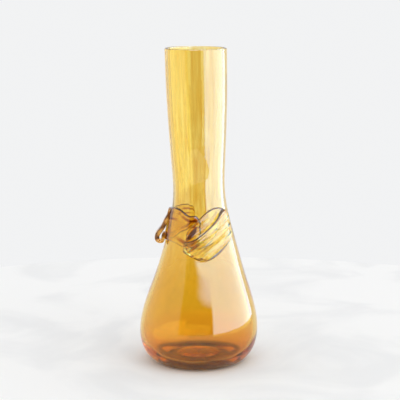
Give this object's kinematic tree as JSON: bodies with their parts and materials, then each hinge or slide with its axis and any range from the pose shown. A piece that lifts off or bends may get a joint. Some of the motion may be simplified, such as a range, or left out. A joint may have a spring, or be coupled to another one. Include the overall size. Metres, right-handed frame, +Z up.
{
  "type": "glass bud vase",
  "caption": "Tall blown glass bud vase with a rounded belly, a long slightly flared neck and a folded ribbon of glass laid round the neck.",
  "frame": {"origin": "centre of the foot, on the table", "axes": "+Z up the vase; -Y towards the front, where the wide fold lies; +X to the right as seen from the front"},
  "size_m": [0.1136, 0.1136, 0.3],
  "materials": {
    "amber_glass": "clear amber blown glass, fire polished",
    "pale_amber_glass": "clear paler amber glass, drawn and pressed hot"
  },
  "bodies": {
    "root": {"vase_body": "amber_glass", "neck_band": "pale_amber_glass", "side_curl": "pale_amber_glass", "front_fold": "pale_amber_glass"}
  },
  "joints": []
}
